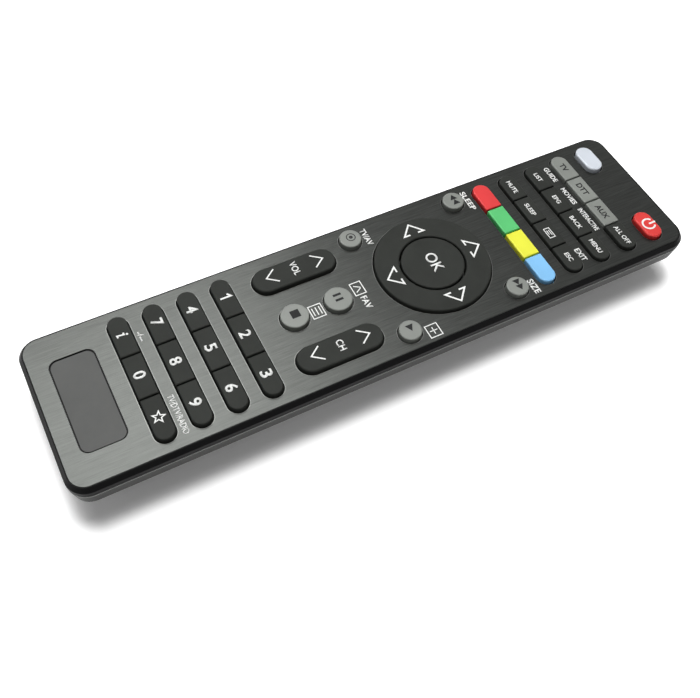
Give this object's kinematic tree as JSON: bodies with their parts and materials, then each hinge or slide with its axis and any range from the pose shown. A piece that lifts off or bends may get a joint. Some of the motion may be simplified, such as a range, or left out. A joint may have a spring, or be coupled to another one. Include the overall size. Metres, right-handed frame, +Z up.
{
  "type": "universal remote control",
  "caption": "Long handset with a brushed dark face plate, rows of pressed keys, two tilting keys, a tilting direction ring with a centre key and a sliding cover over its cells.",
  "frame": {"origin": "middle of the flat underside, on the surface it lies on", "axes": "+Z up through the keys, +Y along the handset towards the infrared end, +X to the right of someone who points it away"},
  "size_m": [0.051, 0.2, 0.0211],
  "materials": {
    "upper_shell": "gloss",
    "lower_shell": "fine matte",
    "face_plate": "dark anodised, brushed along its length",
    "badge": "satin",
    "key_black": "soft matte",
    "key_grey": "satin",
    "key_red": "satin",
    "key_green": "satin",
    "key_yellow": "satin",
    "key_blue": "satin",
    "key_power": "satin",
    "lamp_window": "milky gloss",
    "infrared_window": "dark gloss",
    "circuit_board": "solder resist",
    "key_rubber": "matte",
    "cell_jacket": "printed foil, plain",
    "contact_metal": "plated spring sheet",
    "lamp_resin": "clear resin",
    "chip_resin": "matte",
    "can_metal": "satin",
    "capacitor_sleeve": "gloss",
    "screw_steel": "zinc plated"
  },
  "bodies": {
    "housing": {"top_housing": "upper_shell", "bottom_housing": "lower_shell", "face_plate": "face_plate", "badge": "badge", "indicator_window": "lamp_window", "infrared_window": "infrared_window", "circuit_board": "circuit_board", "rubber_sheet": "key_rubber", "battery_cell_left": "cell_jacket", "battery_cell_right": "cell_jacket", "battery_bridge": "contact_metal", "battery_terminals": "contact_metal", "infrared_leds": "lamp_resin", "indicator_lamp": "lamp_resin", "control_chip": "chip_resin", "resonator": "can_metal", "capacitor": "capacitor_sleeve", "housing_screws": "screw_steel"},
    "key_info": {"key_info": "key_black"},
    "key_0": {"key_0": "key_black"},
    "key_favourite": {"key_favourite": "key_black"},
    "key_7": {"key_7": "key_black"},
    "key_8": {"key_8": "key_black"},
    "key_9": {"key_9": "key_black"},
    "key_4": {"key_4": "key_black"},
    "key_5": {"key_5": "key_black"},
    "key_6": {"key_6": "key_black"},
    "key_1": {"key_1": "key_black"},
    "key_2": {"key_2": "key_black"},
    "key_3": {"key_3": "key_black"},
    "key_mute": {"key_mute": "key_black"},
    "key_sleep": {"key_sleep": "key_black"},
    "key_text": {"key_text": "key_black"},
    "key_escape": {"key_escape": "key_black"},
    "key_list": {"key_list": "key_black"},
    "key_guide": {"key_guide": "key_black"},
    "key_back": {"key_back": "key_black"},
    "key_menu": {"key_menu": "key_black"},
    "key_all_off": {"key_all_off": "key_black"},
    "key_ok": {"key_ok": "key_black"},
    "key_stop": {"key_stop": "key_grey"},
    "key_pause": {"key_pause": "key_grey"},
    "key_source": {"key_source": "key_grey"},
    "key_play": {"key_play": "key_grey"},
    "key_rewind": {"key_rewind": "key_grey"},
    "key_forward": {"key_forward": "key_grey"},
    "key_device_1": {"key_device_1": "key_grey"},
    "key_device_2": {"key_device_2": "key_grey"},
    "key_device_3": {"key_device_3": "key_grey"},
    "key_red": {"key_red": "key_red"},
    "key_green": {"key_green": "key_green"},
    "key_yellow": {"key_yellow": "key_yellow"},
    "key_blue": {"key_blue": "key_blue"},
    "key_power": {"key_power": "key_power"},
    "volume_rocker": {"volume_rocker": "key_black"},
    "channel_rocker": {"channel_rocker": "key_black"},
    "direction_ring": {"direction_ring": "key_black"},
    "ring_collar": {"ring_collar": "key_rubber"},
    "battery_door": {"battery_door": "lower_shell"}
  },
  "joints": [
    {"name": "key_info_press", "type": "slide", "parent": "housing", "child": "key_info", "axis": [0, 0, -1], "range_m": [0, 0.001], "stiffness_N_per_m": 1200},
    {"name": "key_0_press", "type": "slide", "parent": "housing", "child": "key_0", "axis": [0, 0, -1], "range_m": [0, 0.001], "stiffness_N_per_m": 1200},
    {"name": "key_favourite_press", "type": "slide", "parent": "housing", "child": "key_favourite", "axis": [0, 0, -1], "range_m": [0, 0.001], "stiffness_N_per_m": 1200},
    {"name": "key_7_press", "type": "slide", "parent": "housing", "child": "key_7", "axis": [0, 0, -1], "range_m": [0, 0.001], "stiffness_N_per_m": 1200},
    {"name": "key_8_press", "type": "slide", "parent": "housing", "child": "key_8", "axis": [0, 0, -1], "range_m": [0, 0.001], "stiffness_N_per_m": 1200},
    {"name": "key_9_press", "type": "slide", "parent": "housing", "child": "key_9", "axis": [0, 0, -1], "range_m": [0, 0.001], "stiffness_N_per_m": 1200},
    {"name": "key_4_press", "type": "slide", "parent": "housing", "child": "key_4", "axis": [0, 0, -1], "range_m": [0, 0.001], "stiffness_N_per_m": 1200},
    {"name": "key_5_press", "type": "slide", "parent": "housing", "child": "key_5", "axis": [0, 0, -1], "range_m": [0, 0.001], "stiffness_N_per_m": 1200},
    {"name": "key_6_press", "type": "slide", "parent": "housing", "child": "key_6", "axis": [0, 0, -1], "range_m": [0, 0.001], "stiffness_N_per_m": 1200},
    {"name": "key_1_press", "type": "slide", "parent": "housing", "child": "key_1", "axis": [0, 0, -1], "range_m": [0, 0.001], "stiffness_N_per_m": 1200},
    {"name": "key_2_press", "type": "slide", "parent": "housing", "child": "key_2", "axis": [0, 0, -1], "range_m": [0, 0.001], "stiffness_N_per_m": 1200},
    {"name": "key_3_press", "type": "slide", "parent": "housing", "child": "key_3", "axis": [0, 0, -1], "range_m": [0, 0.001], "stiffness_N_per_m": 1200},
    {"name": "key_mute_press", "type": "slide", "parent": "housing", "child": "key_mute", "axis": [0, 0, -1], "range_m": [0, 0.001], "stiffness_N_per_m": 1200},
    {"name": "key_sleep_press", "type": "slide", "parent": "housing", "child": "key_sleep", "axis": [0, 0, -1], "range_m": [0, 0.001], "stiffness_N_per_m": 1200},
    {"name": "key_text_press", "type": "slide", "parent": "housing", "child": "key_text", "axis": [0, 0, -1], "range_m": [0, 0.001], "stiffness_N_per_m": 1200},
    {"name": "key_escape_press", "type": "slide", "parent": "housing", "child": "key_escape", "axis": [0, 0, -1], "range_m": [0, 0.001], "stiffness_N_per_m": 1200},
    {"name": "key_list_press", "type": "slide", "parent": "housing", "child": "key_list", "axis": [0, 0, -1], "range_m": [0, 0.001], "stiffness_N_per_m": 1200},
    {"name": "key_guide_press", "type": "slide", "parent": "housing", "child": "key_guide", "axis": [0, 0, -1], "range_m": [0, 0.001], "stiffness_N_per_m": 1200},
    {"name": "key_back_press", "type": "slide", "parent": "housing", "child": "key_back", "axis": [0, 0, -1], "range_m": [0, 0.001], "stiffness_N_per_m": 1200},
    {"name": "key_menu_press", "type": "slide", "parent": "housing", "child": "key_menu", "axis": [0, 0, -1], "range_m": [0, 0.001], "stiffness_N_per_m": 1200},
    {"name": "key_all_off_press", "type": "slide", "parent": "housing", "child": "key_all_off", "axis": [0, 0, -1], "range_m": [0, 0.001], "stiffness_N_per_m": 1200},
    {"name": "key_ok_press", "type": "slide", "parent": "housing", "child": "key_ok", "axis": [0, 0, -1], "range_m": [0, 0.001], "stiffness_N_per_m": 1500},
    {"name": "key_stop_press", "type": "slide", "parent": "housing", "child": "key_stop", "axis": [0, 0, -1], "range_m": [0, 0.001], "stiffness_N_per_m": 1200},
    {"name": "key_pause_press", "type": "slide", "parent": "housing", "child": "key_pause", "axis": [0, 0, -1], "range_m": [0, 0.001], "stiffness_N_per_m": 1200},
    {"name": "key_source_press", "type": "slide", "parent": "housing", "child": "key_source", "axis": [0, 0, -1], "range_m": [0, 0.001], "stiffness_N_per_m": 1200},
    {"name": "key_play_press", "type": "slide", "parent": "housing", "child": "key_play", "axis": [0, 0, -1], "range_m": [0, 0.001], "stiffness_N_per_m": 1200},
    {"name": "key_rewind_press", "type": "slide", "parent": "housing", "child": "key_rewind", "axis": [0, 0, -1], "range_m": [0, 0.001], "stiffness_N_per_m": 1200},
    {"name": "key_forward_press", "type": "slide", "parent": "housing", "child": "key_forward", "axis": [0, 0, -1], "range_m": [0, 0.001], "stiffness_N_per_m": 1200},
    {"name": "key_device_1_press", "type": "slide", "parent": "housing", "child": "key_device_1", "axis": [0, 0, -1], "range_m": [0, 0.001], "stiffness_N_per_m": 1200},
    {"name": "key_device_2_press", "type": "slide", "parent": "housing", "child": "key_device_2", "axis": [0, 0, -1], "range_m": [0, 0.001], "stiffness_N_per_m": 1200},
    {"name": "key_device_3_press", "type": "slide", "parent": "housing", "child": "key_device_3", "axis": [0, 0, -1], "range_m": [0, 0.001], "stiffness_N_per_m": 1200},
    {"name": "key_red_press", "type": "slide", "parent": "housing", "child": "key_red", "axis": [0, 0, -1], "range_m": [0, 0.001], "stiffness_N_per_m": 1200},
    {"name": "key_green_press", "type": "slide", "parent": "housing", "child": "key_green", "axis": [0, 0, -1], "range_m": [0, 0.001], "stiffness_N_per_m": 1200},
    {"name": "key_yellow_press", "type": "slide", "parent": "housing", "child": "key_yellow", "axis": [0, 0, -1], "range_m": [0, 0.001], "stiffness_N_per_m": 1200},
    {"name": "key_blue_press", "type": "slide", "parent": "housing", "child": "key_blue", "axis": [0, 0, -1], "range_m": [0, 0.001], "stiffness_N_per_m": 1200},
    {"name": "key_power_press", "type": "slide", "parent": "housing", "child": "key_power", "axis": [0, 0, -1], "range_m": [0, 0.001], "stiffness_N_per_m": 1200},
    {"name": "volume_rocker_tilt", "type": "hinge", "parent": "housing", "child": "volume_rocker", "pos_m": [-0.015, -0.019, 0.016], "axis": [1, 0, 0], "range_deg": [-2.2, 2.2], "stiffness_Nm_per_rad": 0.4},
    {"name": "channel_rocker_tilt", "type": "hinge", "parent": "housing", "child": "channel_rocker", "pos_m": [0.015, -0.019, 0.016], "axis": [1, 0, 0], "range_deg": [-2.2, 2.2], "stiffness_Nm_per_rad": 0.4},
    {"name": "ring_tilt_sideways", "type": "hinge", "parent": "housing", "child": "ring_collar", "pos_m": [0, 0.02, 0.016], "axis": [0, 1, 0], "range_deg": [-1.7, 1.7], "stiffness_Nm_per_rad": 0.6},
    {"name": "ring_tilt_lengthways", "type": "hinge", "parent": "ring_collar", "child": "direction_ring", "pos_m": [0, 0.02, 0.016], "axis": [1, 0, 0], "range_deg": [-1.7, 1.7], "stiffness_Nm_per_rad": 0.6},
    {"name": "battery_door_slide", "type": "slide", "parent": "housing", "child": "battery_door", "axis": [0, -1, 0], "range_m": [0, 0.06]}
  ]
}
